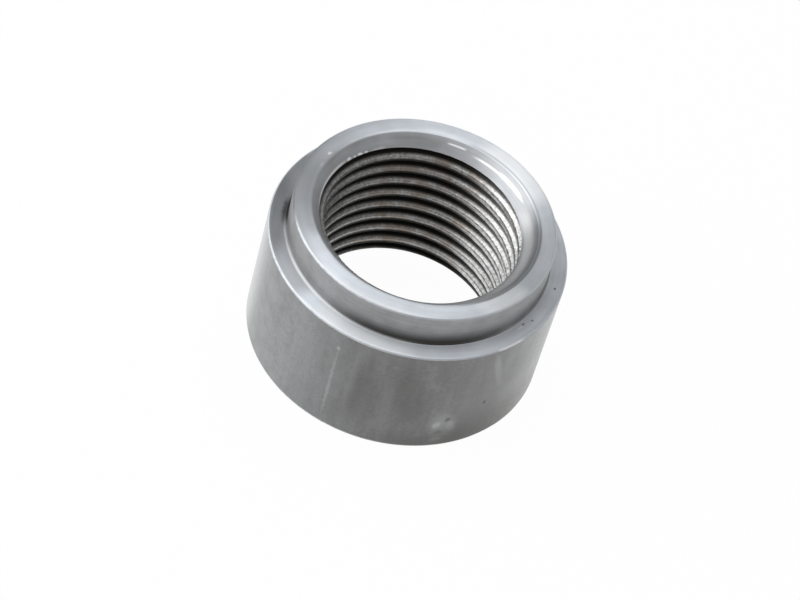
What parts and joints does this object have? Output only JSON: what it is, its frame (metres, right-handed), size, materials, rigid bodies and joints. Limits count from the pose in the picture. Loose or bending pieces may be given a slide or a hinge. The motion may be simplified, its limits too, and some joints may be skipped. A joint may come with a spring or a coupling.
{
  "type": "oxygen sensor weld bung",
  "caption": "Stepped steel weld bung: a turned ring with a tapped M18x1.5 bore for an exhaust oxygen sensor, and a short pilot that enters the pipe.",
  "frame": {"origin": "centre of the wide flat end, where the sensor's sealing washer seats", "axes": "+Z along the bore's axis, from the wide end towards the pilot; X and Y are free, as the outside is round"},
  "size_m": [0.0254, 0.0254, 0.0147],
  "materials": {
    "turned_steel": "bare mild steel, fine turned and satin, with a lightly torn thread"
  },
  "bodies": {
    "root": {"weld_bung": "turned_steel"}
  },
  "joints": []
}
